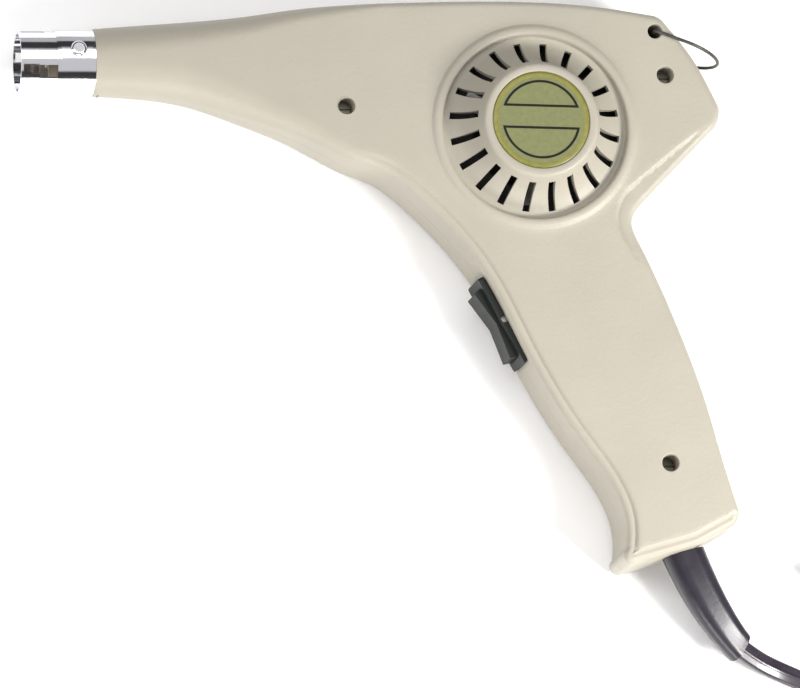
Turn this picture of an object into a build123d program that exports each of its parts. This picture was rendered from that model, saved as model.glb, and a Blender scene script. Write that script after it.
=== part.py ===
from build123d import *
import math
import os

# A pistol-shaped electric heat gun lying on its right side.
# Frame: +X from the nozzle to the rear, +Y from the grip to the barrel, +Z up through the
# thickness. The origin is at the middle of the housing's footprint, on the surface it lies on.

# ---------------------------------------------------------------- driving dimensions, mm
ORIGIN_X = 1.43                 # every finished piece moves this far along X, to the model's origin
THICKNESS = 26.0                # housing across its flat sides
SEAM_Z = THICKNESS / 2          # parting plane between the two shells
WALL = 2.4
EDGE_ROUND = 1.5                # round along the housing's flat sides
GAP = 0.05                      # slip between parts that seat in each other

BARREL_Y = 67.4                 # axis of the nozzle and heater
NOSE_X = -84.0                  # front face of the shells
NOSE_WALL = 1.5
NOZZLE_X = -106.04              # mouth of the nozzle
NOZZLE_R = 9.25
NOZZLE_WALL = 0.83
COLLAR_X = -95.3
COLLAR_R = 9.7
HEATER_R = 8.35

FAN_X, FAN_Y = 44.8, 45.8       # axis of the fan, motor and vent dome
HUB_R = 16.8                    # flat top of the dome
HUB_Z = 36.2
RIM_R = 29.5                    # crest of the ring round the dome
RIM_Z = 27.2
SLOT_COUNT = 20
SLOT_TURN = -8.0                # of the first slot, in degrees
SLOT_WIDTH = 2.1
SLOT_IN_R, SLOT_OUT_R = 18.2, 25.4
LABEL_R = 14.4

IMPELLER_R = 24.0
BLADE_COUNT = 24
SHAFT_R = 1.15
MOTOR_R = 11.5
SCROLL_R0, SCROLL_R1 = 26.5, 32.5
SCROLL_WALL = 1.3
SCROLL_Z = 2.6                  # underside of the scroll's floor
PLATE_Z = 14.0                  # underside of the inlet plate
PLATE_T = 1.2
MOTOR_Z = 16.4                  # motor's front face
MOTOR_TOP = 30.0

SCREWS = [(-11.0, 52.1), (84.5, 61.6), (81.37, -54.4)]
SCREW_R = 1.5
SCREW_HEAD_R = 2.35
SCREW_HEAD_Z = 17.0
RECESS_R = 2.55
BOSS_R = 4.2

BAIL_X, BAIL_Y = 81.9, 74.7     # hole for the hanging bail
BAIL_HOLE_R = 2.1
BAIL_WIRE_R = 0.5
BAIL_LEG = 9.2                  # straight reach of each leg over the housing
BAIL_LIFT = 0.8                 # wire centre above a face of the housing
BAIL_ANGLE = -19.9              # direction of the legs at rest, from +X
RELIEF_DEPTH = 1.8
RELIEF_R = 10.2

SWITCH_AT = (34.95, -10.3)       # middle of the switch on the grip's front
SWITCH_DIR = (0.462, -0.8869)  # its long direction, down the grip
BEZEL_L, BEZEL_W, BEZEL_T = 28.0, 16.0, 1.7
CASE_L, CASE_W, CASE_D = 25.0, 13.4, 19.0
MOUTH_L, MOUTH_W = 23.0, 11.4
ROCKER_W = 10.8
ROCKER_R = 11.3                 # sweep of the rocker's ends about its pin
ROCKER_PIN_Z = 0.5              # pin above the seat of the bezel
PIN_R = 1.0

BOOT_AT = (86.65, -79.15, 13.0)  # where the boot leaves the grip's lower face
BOOT_FACE = (0.2719, -0.9623, 0)  # outward normal of that face
BOOT_NECK_R = 4.4
CORD_W, CORD_T = 6.0, 2.7       # flat three-wire cord

COIL_X, COIL_Y = 172.95, -87.0
COIL_Z = 0.9                    # underside of the coil, on its tie
COIL_IN_R, COIL_OUT_R = 22.5, 41.3
COIL_TOP = 12.6
PLUG_Y = -41.0                  # back of the plug
PLUG_W, PLUG_H, PLUG_L = 25.0, 21.0, 33.0

# Cord from the boot to the coil, chosen by hand; scene coordinates repeat it in metres.
CORD_ROUTE = [(103.25, -106.3, 8.5), (108.75, -109.6, 5.4), (115.55, -112.3, 2.4), (124.45, -116.0, 1.45),
              (137.95, -121.3, 1.45), (153.55, -124.2, 1.9)]
CORD_END_ROUTE = [(209.55, -68.5, 10.9), (210.15, -59.5, 11.0), (208.75, -50.5, 10.5), (208.75, PLUG_Y, 10.5)]

FAN_AXIS = Axis((FAN_X, FAN_Y, 0), (0, 0, 1))
FAN_SECTION = Plane(origin=(FAN_X, FAN_Y, 0), x_dir=(1, 0, 0), z_dir=(0, -1, 0))
SWITCH_PLANE = Plane(origin=(*SWITCH_AT, SEAM_Z), x_dir=(*SWITCH_DIR, 0),
                     z_dir=(SWITCH_DIR[1], -SWITCH_DIR[0], 0))
SWITCH_SIDE = Plane(origin=(*SWITCH_AT, SEAM_Z), x_dir=(*SWITCH_DIR, 0), z_dir=(0, 0, -1))
BOOT_IN = Plane(origin=BOOT_AT, x_dir=(0, 0, 1), z_dir=(-BOOT_FACE[0], -BOOT_FACE[1], 0))
LOW = (Align.CENTER, Align.CENTER, Align.MIN)


def keep(piece, name):
    """Labels a finished piece and writes it out, moved to the model's origin."""
    finished = piece.part.moved(Location((ORIGIN_X, 0, 0)))
    finished.label = name
    export_step(finished, f"parts/{name}.step")


def across(x):
    """The plane across the barrel at x, with its own X along +Y and its own Y along +Z."""
    return Plane(origin=(x, BARREL_Y, SEAM_Z), x_dir=(0, 1, 0), z_dir=(1, 0, 0))


def around(angle, radius):
    """A point across the barrel at an angle from +Z towards +Y, in the plane of across()."""
    return (radius * math.sin(math.radians(angle)), radius * math.cos(math.radians(angle)))


def wedge(start, end, inner, outer):
    """Corners of a sector of the barrel between two angles and two radii."""
    return [around(start, inner), around(start, outer), around(end, outer), around(end, inner)]


def at_fan(z):
    """The plane across the fan's axis at height z."""
    return Plane(origin=(FAN_X, FAN_Y, z))


def inset(points, amount):
    """The closed outline's points, which run clockwise, each moved inwards by amount."""
    moved = []
    for i, point in enumerate(points):
        before, here, after = (Vector(*points[k % len(points)]) for k in (i - 1, i, i + 1))
        n1 = (here - before).normalized().rotate(Axis.Z, -90)
        n2 = (after - here).normalized().rotate(Axis.Z, -90)
        move = (n1 + n2) * (amount / (1 + n1.dot(n2)))
        moved.append((point[0] + move.X, point[1] + move.Y))
    return moved


os.makedirs("parts", exist_ok=True)

# ---------------------------------------------------------------- housing
# Side profile: nose, top, rear facets, waist, back of the grip, its foot, and the long front.
TOP = [(NOSE_X, 77.3), (-57, 79), (-38.9, 80.3), (-24.5, 82.0), (0, 83.1), (16.8, 83.6),
       (34.3, 83.8), (64.3, 82.4), (81.6, 79.8)]
REAR_TOP = [(85.2, 77.4), (93.4, 66.4), (98.0, 57.6), (100.5, 52.2)]
REAR_CORNER = (100.1, 48.4)
REAR_LOW = (98.7, 45.8)
WAIST = [(76.9, 24.0), (73.24, 18.4), (75.12, 11.2), (79.92, 0.2), (82.54, -6.1)]
BACK = [(82.54, -6.1), (92.89, -36.1), (96.97, -52.2), (101.26, -67.8)]
HEEL = (101.24, -70.5)
FOOT = [(100.26, -72.4), (88.89, -78.4), (69.44, -83.8)]
FRONT = [(67.45, -79.3), (67.84, -72.8), (64.09, -60.6), (54.73, -46.4), (39.07, -18.8), (27.98, 3.6),
         (19.59, 14.9), (6.87, 27.8), (0, 33.0), (-9.1, 36.4), (-22.2, 43.0), (-37.1, 48.8),
         (-57, 55.0), (NOSE_X, 57.5)]

with BuildSketch() as side_profile:
    with BuildLine():
        Spline(*TOP)
        ThreePointArc(TOP[-1], (83.7, 79.0), REAR_TOP[0])
        Spline(*REAR_TOP)
        ThreePointArc(REAR_TOP[-1], REAR_CORNER, REAR_LOW)
        Line(REAR_LOW, WAIST[0])
        Spline(*WAIST)
        Spline(*BACK)
        ThreePointArc(BACK[-1], HEEL, FOOT[0])
        Line(FOOT[0], FOOT[1])
        Line(FOOT[1], FOOT[2])
        ThreePointArc(FOOT[2], (67, -82.6), FRONT[0])
        Spline(*FRONT)
        Line(FRONT[-1], TOP[0])
    make_face()

# Barrel sections: x, underside, top, thickness, corner round.
BARREL = [(NOSE_X, 57.5, 77.3, 19.8, 9.85), (-57, 55.0, 79.0, 21.5, 9.0), (-38, 49.1, 80.4, 23.2, 7.0),
          (-22.2, 43.0, 82.1, 24.4, 5.0), (-9.1, 36.4, 82.8, 25.3, 3.0), (1.5, 33.4, 82.9, 25.6, 3.0)]


def barrel_sections(inset):
    """The plane, width, height and corner round of each barrel section, inset by a wall."""
    for x, low, high, thick, corner in BARREL:
        shrink = min(inset, NOSE_WALL) if x == NOSE_X else inset
        plane = Plane(origin=(x, (low + high) / 2, SEAM_Z), x_dir=(0, 1, 0), z_dir=(1, 0, 0))
        width, height = high - low - 2 * shrink, thick - 2 * shrink
        yield plane, width, height, min(max(corner - shrink, 1.0), width / 2 - GAP, height / 2 - GAP)


# Each shell is one half, up to the parting plane. The right half is built and mirrored.
with BuildPart() as right_body:
    with BuildSketch():
        add(side_profile.sketch)
    extrude(amount=SEAM_Z)
    split(bisect_by=Plane.YZ, keep=Keep.TOP)
    fillet([e for e in right_body.edges() if e.center().Z < 0.01 and e.center().X > 0.1], radius=EDGE_ROUND)

with BuildPart() as right_barrel:
    for plane, width, height, corner in barrel_sections(0):
        with BuildSketch(plane) as section:
            Rectangle(width, height / 2, align=(Align.CENTER, Align.MAX))
            fillet(section.vertices().group_by(Axis.Y)[0], radius=corner)
    loft(ruled=True)

with BuildPart() as right_outer:
    add(right_body.part)
    add(right_barrel.part)

with BuildSketch() as cavity_profile:
    with BuildLine():
        Polyline(*inset(TOP + REAR_TOP + [REAR_LOW] + WAIST + BACK[1:] + FOOT + FRONT, WALL), close=True)
    make_face()

with BuildPart() as right_cavity:
    with BuildSketch(Plane.XY.offset(WALL)):
        add(cavity_profile.sketch)
    extrude(amount=SEAM_Z - WALL)
    split(bisect_by=Plane.YZ, keep=Keep.TOP)

with BuildPart() as right_barrel_cavity:
    for plane, width, height, corner in barrel_sections(WALL):
        with BuildSketch(plane) as section:
            Rectangle(width, height / 2, align=(Align.CENTER, Align.MAX))
            fillet(section.vertices().group_by(Axis.Y)[0], radius=corner)
    loft(ruled=True)

CLAMP_S = 12.0                  # cord clamp's distance inside the grip's lower face
CLAMP_SPAN = 8.0                # each clamp screw's distance from the cord
CLAMP_POSTS = [(BOOT_AT[0] - CLAMP_SPAN * k * BOOT_FACE[1] - CLAMP_S * BOOT_FACE[0],
                BOOT_AT[1] + CLAMP_SPAN * k * BOOT_FACE[0] - CLAMP_S * BOOT_FACE[1]) for k in (-1, 1)]
BOARD_AT, BOARD_TILT = (73.34, -26.0), -66.0
BOARD_DIR = (math.cos(math.radians(BOARD_TILT)), math.sin(math.radians(BOARD_TILT)), 0)
BOARD_PINS = [(BOARD_AT[0] + 9 * k * BOARD_DIR[0], BOARD_AT[1] + 9 * k * BOARD_DIR[1]) for k in (-1, 1)]
BOARD_Z, BOARD_T = 9.0, 1.2
HEATER_RIB_X = -60.0

# What the housing's hollow leaves standing: bosses, posts, ribs and the cord's saddle.
with BuildPart() as standing:
    with BuildSketch():
        with Locations(*SCREWS, (BAIL_X, BAIL_Y)):
            Circle(BOSS_R)
    extrude(amount=THICKNESS)
    with BuildSketch():
        with Locations((BAIL_X, BAIL_Y)):
            Circle(RELIEF_R + WALL / 2)
    extrude(amount=RELIEF_DEPTH + WALL)
    with BuildSketch():
        with Locations(*CLAMP_POSTS):
            Circle(2.6)
    extrude(amount=SEAM_Z)
    with BuildSketch():
        with Locations(*BOARD_PINS):
            Circle(2.2)
    extrude(amount=BOARD_Z)
    with BuildSketch():
        with Locations(*BOARD_PINS):
            Circle(1.0)
    extrude(amount=BOARD_Z + BOARD_T + 0.6)
    with BuildSketch(across(HEATER_RIB_X - 0.8)):
        Rectangle(40, 30)
        Circle(HEATER_R + GAP, mode=Mode.SUBTRACT)
    extrude(amount=1.6)

# What is cut through the shells from outside.
with BuildPart() as openings:
    with BuildSketch(BOOT_IN.offset(-4)):
        Circle(BOOT_NECK_R + GAP)
    extrude(amount=8)
    with BuildSketch(SWITCH_PLANE.offset(-WALL * 3)):
        RectangleRounded(CASE_L + 2 * GAP, CASE_W + 2 * GAP, 0.5)
    extrude(amount=WALL * 5)
    with BuildSketch(SWITCH_PLANE):
        RectangleRounded(BEZEL_L + 1.2, BEZEL_W + 1.2, 1.5)
    extrude(amount=4)
    with BuildSketch():
        with Locations((BAIL_X, BAIL_Y)):
            Circle(RELIEF_R)
    extrude(amount=RELIEF_DEPTH)
    with BuildSketch():
        with Locations((BAIL_X, BAIL_Y)):
            Circle(BAIL_HOLE_R)
    extrude(amount=THICKNESS)
    for low, high, radius in ((SCREW_HEAD_Z, THICKNESS, RECESS_R), (SEAM_Z, SCREW_HEAD_Z, SCREW_R + 0.1),
                              (4.5, SEAM_Z, SCREW_R + 0.02)):
        with BuildSketch(Plane.XY.offset(low)):
            with Locations(*SCREWS):
                Circle(radius)
        extrude(amount=high - low)
    with BuildSketch(Plane.XY.offset(6)):
        with Locations(*CLAMP_POSTS):
            Circle(0.93)
    extrude(amount=THICKNESS / 2)

with BuildPart() as right_hollow:
    add(right_cavity.part)
    add(right_barrel_cavity.part)

with BuildPart() as right_inside:
    add(right_hollow.part)
    add(standing.part, mode=Mode.SUBTRACT, clean=False)

with BuildPart() as right_shell:
    add(right_outer.part)
    add(right_inside.part, mode=Mode.SUBTRACT, clean=False)
    add(openings.part, mode=Mode.SUBTRACT, clean=False)

# The vent dome: a ring, a trough, a flare with radial slots, and a hub with a recess.
with BuildPart() as vent_dome:
    with BuildSketch(FAN_SECTION):
        with BuildLine():
            Line((0, HUB_Z - 0.8), (LABEL_R + 0.1, HUB_Z - 0.8))
            Line((LABEL_R + 0.1, HUB_Z - 0.8), (LABEL_R + 0.1, HUB_Z))
            Line((LABEL_R + 0.1, HUB_Z), (HUB_R - 0.6, HUB_Z))
            ThreePointArc((HUB_R - 0.6, HUB_Z), (HUB_R - 0.15, HUB_Z - 0.2), (HUB_R, HUB_Z - 0.7))
            ThreePointArc((HUB_R, HUB_Z - 0.7), (20.2, 28.9), (25.8, 24.9))
            Line((25.8, 24.9), (27.2, 24.9))
            Line((27.2, 24.9), (27.6, 26.6))
            ThreePointArc((27.6, 26.6), (28.6, RIM_Z), (29.6, 27.0))
            ThreePointArc((29.6, 27.0), (30.2, 26.3), (31.0, THICKNESS))
            Line((31.0, THICKNESS), (31.0, THICKNESS - WALL))
            Line((31.0, THICKNESS - WALL), (24.6, 23.3))
            ThreePointArc((24.6, 23.3), (18.7, 27.8), (14.9, 33.9))
            Line((14.9, 33.9), (0, 33.9))
            Line((0, 33.9), (0, HUB_Z - 0.8))
        make_face()
    revolve(axis=FAN_AXIS)
    with BuildSketch(at_fan(SEAM_Z + 8)):
        with PolarLocations((SLOT_IN_R + SLOT_OUT_R) / 2, SLOT_COUNT, start_angle=SLOT_TURN):
            Rectangle(SLOT_OUT_R - SLOT_IN_R, SLOT_WIDTH)
    extrude(amount=THICKNESS, mode=Mode.SUBTRACT)

with BuildPart() as left_inside:
    mirror(right_hollow.part, about=Plane.XY.offset(SEAM_Z))
    add(standing.part, mode=Mode.SUBTRACT, clean=False)

with BuildPart() as left_shell:
    mirror(right_outer.part, about=Plane.XY.offset(SEAM_Z))
    add(left_inside.part, mode=Mode.SUBTRACT, clean=False)
    add(openings.part, mode=Mode.SUBTRACT, clean=False)
    with BuildSketch(at_fan(SEAM_Z)):
        Circle(30.9)
    extrude(amount=THICKNESS, mode=Mode.SUBTRACT, clean=False)
    add(vent_dome.part, clean=False)

with BuildPart() as label_disc:
    with BuildSketch(at_fan(HUB_Z - 0.8)):
        Circle(LABEL_R)
    extrude(amount=0.6)

with BuildPart() as shell_screws:
    with Locations(*[(x, y, SCREW_HEAD_Z) for x, y in SCREWS]):
        Cylinder(SCREW_HEAD_R, 2.2, align=LOW)
    with Locations(*[(x, y, 6.0) for x, y in SCREWS]):
        Cylinder(SCREW_R, SCREW_HEAD_Z - 6.0, align=LOW)
    with Locations(*[(x, y, SCREW_HEAD_Z + 1.4) for x, y in SCREWS]):
        Box(2 * SCREW_HEAD_R, 0.7, 1, align=LOW, mode=Mode.SUBTRACT)

# ---------------------------------------------------------------- nozzle
RIVET_X, RIVET_ANGLE = -89.2, 12.0
RIVET_DIR = (0, math.sin(math.radians(RIVET_ANGLE)), math.cos(math.radians(RIVET_ANGLE)))
RIVET_PLANE = Plane(origin=(RIVET_X, BARREL_Y, SEAM_Z), x_dir=(1, 0, 0), z_dir=RIVET_DIR)
# Openings in the tube: start and end along the barrel, then start and end angle.
NOZZLE_SLOTS = [(-105.4, -100.6, -33, -14), (-100.7, -94.0, -42, -16), (-105.4, -98.5, 60, 78),
                (-105.4, -100.6, 147, 166), (-100.7, -97.0, 138, 164)]

with BuildPart() as nozzle_tube:
    with BuildSketch(across(NOZZLE_X)):
        Circle(NOZZLE_R)
        Circle(NOZZLE_R - NOZZLE_WALL, mode=Mode.SUBTRACT)
    extrude(amount=NOSE_X - NOZZLE_X)
    for start, end, angle_1, angle_2 in NOZZLE_SLOTS:
        with BuildSketch(across(start)):
            Polygon(*wedge(angle_1, angle_2, 6, 12), align=None)
        extrude(amount=end - start, mode=Mode.SUBTRACT)
    with BuildSketch(RIVET_PLANE.offset(8)):
        Circle(1.25)
    extrude(amount=4, mode=Mode.SUBTRACT)

with BuildPart() as nozzle_collar:
    with BuildSketch(across(COLLAR_X)):
        Circle(COLLAR_R)
        Circle(NOZZLE_R + 0.03, mode=Mode.SUBTRACT)
    extrude(amount=NOSE_X - GAP - COLLAR_X)
    with BuildSketch(across(COLLAR_X + 1)):
        Circle(COLLAR_R + 0.45)
        Circle(NOZZLE_R + 0.03, mode=Mode.SUBTRACT)
        Polygon(*wedge(-12, 26, 6, 12), align=None, mode=Mode.INTERSECT)
    extrude(amount=9.2)
    with BuildSketch(RIVET_PLANE.offset(8)):
        Circle(1.25)
    extrude(amount=4, mode=Mode.SUBTRACT)

with BuildPart() as collar_rivet:
    with BuildSketch(RIVET_PLANE.offset(8.6)):
        Circle(1.2)
    extrude(amount=1.6)
    with BuildSketch(RIVET_PLANE.offset(10.15)):
        Circle(2.4)
    extrude(amount=1.0)
    fillet(collar_rivet.faces().sort_by(Axis(RIVET_PLANE.origin, RIVET_DIR))[-1].edges(), radius=0.85)

# ---------------------------------------------------------------- heater
with BuildPart() as heater_tube:
    with BuildSketch(across(-93)):
        Circle(HEATER_R)
        Circle(HEATER_R - 0.6, mode=Mode.SUBTRACT)
    extrude(amount=43)

with BuildPart() as mica_sleeve:
    with BuildSketch(across(-92.8)):
        Circle(HEATER_R - 0.7)
        Circle(HEATER_R - 1.1, mode=Mode.SUBTRACT)
    extrude(amount=40.8)

BOARD_START, BOARD_END, BOARD_HALF, MICA_T = -97.0, -56.0, 5.8, 0.8

with BuildPart() as mica_board_flat:
    with BuildSketch(Plane.XY.offset(SEAM_Z - MICA_T / 2)):
        with Locations(((BOARD_START + BOARD_END) / 2, BARREL_Y)):
            Rectangle(BOARD_END - BOARD_START, 2 * BOARD_HALF)
        with Locations((BOARD_END, BARREL_Y)):
            Rectangle(BOARD_END - BOARD_START, MICA_T + 0.06, mode=Mode.SUBTRACT)
    extrude(amount=MICA_T)

with BuildPart() as mica_board_upright:
    with BuildSketch(Plane.XZ.offset(-BARREL_Y - MICA_T / 2)):
        with Locations(((BOARD_START + BOARD_END) / 2, SEAM_Z)):
            Rectangle(BOARD_END - BOARD_START, 2 * BOARD_HALF)
        with Locations((BOARD_START, SEAM_Z)):
            Rectangle(BOARD_END - BOARD_START, MICA_T + 0.06, mode=Mode.SUBTRACT)
    extrude(amount=MICA_T)

with BuildPart() as heater_coil:
    with BuildLine():
        turns = Helix(pitch=2.6, height=33.8, radius=6.3, center=(-94, BARREL_Y, SEAM_Z), direction=(1, 0, 0))
    with BuildSketch(Plane(origin=turns @ 0, z_dir=turns % 0)):
        Circle(0.25)
    sweep(path=turns, is_frenet=True)

with BuildPart() as thermal_cutout:
    with BuildSketch(across(-52)):
        Circle(2.6)
    extrude(amount=9)

# ---------------------------------------------------------------- blower
SCROLL_START = 150.0            # angle of the scroll's tongue
SCROLL_TURN = 300.0
OUTLET_X, OUTLET_LOW = 3.5, 56.0


def on_scroll(turn):
    """A point on the scroll's inner wall after a share of its turn."""
    angle = math.radians(SCROLL_START + SCROLL_TURN * turn)
    radius = SCROLL_R0 + (SCROLL_R1 - SCROLL_R0) * turn
    return (FAN_X + radius * math.cos(angle), FAN_Y + radius * math.sin(angle))


SCROLL_OUTLINE = [(OUTLET_X, OUTLET_LOW), (OUTLET_X, on_scroll(1)[1])]
SCROLL_OUTLINE += [on_scroll(1 - k / 24) for k in range(25)]

with BuildSketch() as scroll_inside:
    with BuildLine():
        Polyline(*SCROLL_OUTLINE, close=True)
    make_face()

with BuildSketch() as scroll_outside:
    with BuildLine():
        Polyline(*inset(SCROLL_OUTLINE, -SCROLL_WALL), close=True)
    make_face()

with BuildPart() as blower_scroll:
    with BuildSketch(Plane.XY.offset(SCROLL_Z)):
        add(scroll_outside.sketch)
    extrude(amount=PLATE_Z - SCROLL_Z)
    with BuildSketch(Plane.XY.offset(SCROLL_Z + PLATE_T)):
        add(scroll_inside.sketch)
        with Locations((OUTLET_X, (on_scroll(1)[1] + OUTLET_LOW) / 2)):
            Rectangle(6, on_scroll(1)[1] - OUTLET_LOW)
    extrude(amount=PLATE_Z, mode=Mode.SUBTRACT)

with BuildPart() as inlet_plate:
    with BuildSketch(Plane.XY.offset(PLATE_Z)):
        add(scroll_outside.sketch)
        with Locations((FAN_X, FAN_Y)):
            Circle(16.5, mode=Mode.SUBTRACT)
            with PolarLocations(19, 3, start_angle=30):
                Circle(0.93, mode=Mode.SUBTRACT)
    extrude(amount=PLATE_T)

with BuildPart() as motor_bracket:
    with BuildSketch(at_fan(PLATE_Z + PLATE_T)):
        Circle(MOTOR_R)
        with PolarLocations(14, 3, start_angle=30):
            Rectangle(15, 5)
        Circle(4, mode=Mode.SUBTRACT)
        with PolarLocations(19, 3, start_angle=30):
            Circle(0.95, mode=Mode.SUBTRACT)
    extrude(amount=MOTOR_Z - PLATE_Z - PLATE_T)

with BuildPart() as bracket_screws:
    with BuildSketch(at_fan(PLATE_Z - 0.5)):
        with PolarLocations(19, 3, start_angle=30):
            Circle(0.9)
    extrude(amount=MOTOR_Z - PLATE_Z + 0.5)
    with BuildSketch(at_fan(MOTOR_Z)):
        with PolarLocations(19, 3, start_angle=30):
            Circle(1.8)
    extrude(amount=1.2)

with BuildPart() as impeller:
    with BuildSketch(at_fan(4.8)):
        Circle(IMPELLER_R)
    extrude(amount=1)
    with BuildSketch(at_fan(5.8)):
        Circle(3.5)
    extrude(amount=5.2)
    with BuildSketch(at_fan(5.8)):
        with Locations([Location((20.9 * math.cos(math.radians(a)), 20.9 * math.sin(math.radians(a)), 0),
                                 (0, 0, 1), a + 30) for a in range(0, 360, 360 // BLADE_COUNT)]):
            Rectangle(6, 0.8)
    extrude(amount=5.8)
    with BuildSketch(at_fan(11.6)):
        Circle(IMPELLER_R)
        Circle(IMPELLER_R - 1.6, mode=Mode.SUBTRACT)
    extrude(amount=0.8)
    with BuildSketch(at_fan(4)):
        Circle(SHAFT_R + 0.01)
    extrude(amount=10, mode=Mode.SUBTRACT)

# ---------------------------------------------------------------- motor
with BuildPart() as motor_can:
    with BuildSketch(at_fan(MOTOR_Z)):
        Circle(MOTOR_R)
    extrude(amount=MOTOR_TOP - MOTOR_Z)
    with BuildSketch(at_fan(MOTOR_Z + 1)):
        Circle(MOTOR_R - 1)
    extrude(amount=MOTOR_TOP, mode=Mode.SUBTRACT)
    with BuildSketch(at_fan(MOTOR_Z)):
        Circle(3.01)
    extrude(amount=2, mode=Mode.SUBTRACT)

with BuildPart() as motor_magnets:
    with BuildSketch(at_fan(18.5)):
        Circle(MOTOR_R - 1.1)
        Circle(8.9, mode=Mode.SUBTRACT)
        Rectangle(30, 9, mode=Mode.SUBTRACT)
    extrude(amount=9)

with BuildPart() as armature_core:
    with BuildSketch(at_fan(19.5)):
        Circle(8.4)
        with PolarLocations(6.4, 5):
            Rectangle(4.4, 1.8, mode=Mode.SUBTRACT)
        Circle(SHAFT_R + 0.01, mode=Mode.SUBTRACT)
    extrude(amount=7)

with BuildPart() as armature_windings:
    with BuildSketch(at_fan(18.7)):
        with PolarLocations(6.2, 5):
            Rectangle(3.6, 1.6)
    extrude(amount=8.4)

with BuildPart() as commutator:
    with BuildSketch(at_fan(27.2)):
        Circle(2.6)
        Circle(SHAFT_R + 0.01, mode=Mode.SUBTRACT)
    extrude(amount=1.7)

with BuildPart() as motor_shaft:
    with BuildSketch(at_fan(4.4)):
        Circle(SHAFT_R)
    extrude(amount=27.6)

with BuildPart() as motor_bearings:
    with BuildSketch(at_fan(MOTOR_Z)):
        Circle(3)
        Circle(SHAFT_R + 0.04, mode=Mode.SUBTRACT)
    extrude(amount=2)
    with BuildSketch(at_fan(29.3)):
        Circle(3)
        Circle(SHAFT_R + 0.04, mode=Mode.SUBTRACT)
    extrude(amount=2.2)

with BuildPart() as motor_brushes:
    with BuildSketch(at_fan(27.6)):
        with PolarLocations(4.35, 2):
            Rectangle(3.3, 1.8)
    extrude(amount=0.9)

with BuildPart() as brush_holders:
    with BuildSketch(at_fan(27.4)):
        with PolarLocations(6.6, 2):
            Rectangle(1.2, 2.4)
    extrude(amount=MOTOR_TOP - 27.4)

with BuildPart() as motor_end_cap:
    with BuildSketch(at_fan(MOTOR_TOP)):
        Circle(MOTOR_R)
        Circle(3.01, mode=Mode.SUBTRACT)
    extrude(amount=1.5)

# ---------------------------------------------------------------- switch
with BuildPart() as switch_body:
    with BuildSketch(SWITCH_PLANE.offset(-CASE_D)):
        RectangleRounded(CASE_L, CASE_W, 0.5)
    extrude(amount=CASE_D)
    with BuildSketch(SWITCH_PLANE):
        RectangleRounded(BEZEL_L, BEZEL_W, 1.0)
    extrude(amount=BEZEL_T)
    with BuildSketch(SWITCH_PLANE.offset(-CASE_D + 2)):
        Rectangle(MOUTH_L, MOUTH_W)
    extrude(amount=CASE_D, mode=Mode.SUBTRACT)
    with BuildSketch(Plane(origin=SWITCH_SIDE.from_local_coords((0, ROCKER_PIN_Z, -8)), x_dir=SWITCH_SIDE.x_dir,
                           z_dir=SWITCH_SIDE.z_dir)):
        Circle(PIN_R + 0.01)
    extrude(amount=16, mode=Mode.SUBTRACT)

with BuildPart() as rocker:
    with BuildSketch(SWITCH_SIDE.offset(-ROCKER_W / 2)):
        Polygon((-11.5, 4.3), (0, 2.7), (11.5, 4.3), (11.5, -3.5), (4, -7.0), (-4, -7.0), (-11.5, -3.5),
                align=None)
        with Locations((0, ROCKER_PIN_Z)):
            Circle(ROCKER_R, mode=Mode.INTERSECT)
            Circle(PIN_R + 0.05, mode=Mode.SUBTRACT)
    extrude(amount=ROCKER_W)

with BuildPart() as rocker_pin:
    with BuildSketch(SWITCH_SIDE.offset(-MOUTH_W / 2 - 0.9)):
        with Locations((0, ROCKER_PIN_Z)):
            Circle(PIN_R)
    extrude(amount=MOUTH_W + 1.8)

with BuildPart() as switch_terminals:
    with BuildSketch(SWITCH_PLANE.offset(-CASE_D - 7)):
        with GridLocations(8, 0, 3, 1):
            Rectangle(0.8, 4.8)
    extrude(amount=7)

# ---------------------------------------------------------------- hanging bail
BAIL_OUT = (math.cos(math.radians(BAIL_ANGLE)), math.sin(math.radians(BAIL_ANGLE)), 0)
BAIL_PLANE = Plane(origin=(BAIL_X, BAIL_Y, 0), x_dir=BAIL_OUT, z_dir=(BAIL_OUT[1], -BAIL_OUT[0], 0))
BAIL_LOW, BAIL_HIGH = RELIEF_DEPTH - BAIL_LIFT, THICKNESS + BAIL_LIFT
BAIL_BEND = 1.2

with BuildPart() as hang_bail:
    with BuildLine(BAIL_PLANE):
        middle = (BAIL_LOW + BAIL_HIGH) / 2
        Line((0, BAIL_LOW + BAIL_BEND), (0, BAIL_HIGH - BAIL_BEND))
        RadiusArc((0, BAIL_HIGH - BAIL_BEND), (BAIL_BEND, BAIL_HIGH), BAIL_BEND)
        Line((BAIL_BEND, BAIL_HIGH), (BAIL_LEG, BAIL_HIGH))
        ThreePointArc((BAIL_LEG, BAIL_HIGH), (BAIL_LEG + BAIL_HIGH - middle, middle), (BAIL_LEG, BAIL_LOW))
        Line((BAIL_LEG, BAIL_LOW), (BAIL_BEND, BAIL_LOW))
        RadiusArc((BAIL_BEND, BAIL_LOW), (0, BAIL_LOW + BAIL_BEND), BAIL_BEND)
    with BuildSketch(Plane(origin=(BAIL_X, BAIL_Y, BAIL_LOW + BAIL_BEND))):
        Circle(BAIL_WIRE_R)
    sweep()

# ---------------------------------------------------------------- wiring and cord
with BuildPart() as cord_stub:
    with BuildSketch(BOOT_IN.offset(6.15)):
        RectangleRounded(CORD_T, CORD_W, 1.2)
    extrude(amount=11.3)

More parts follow.
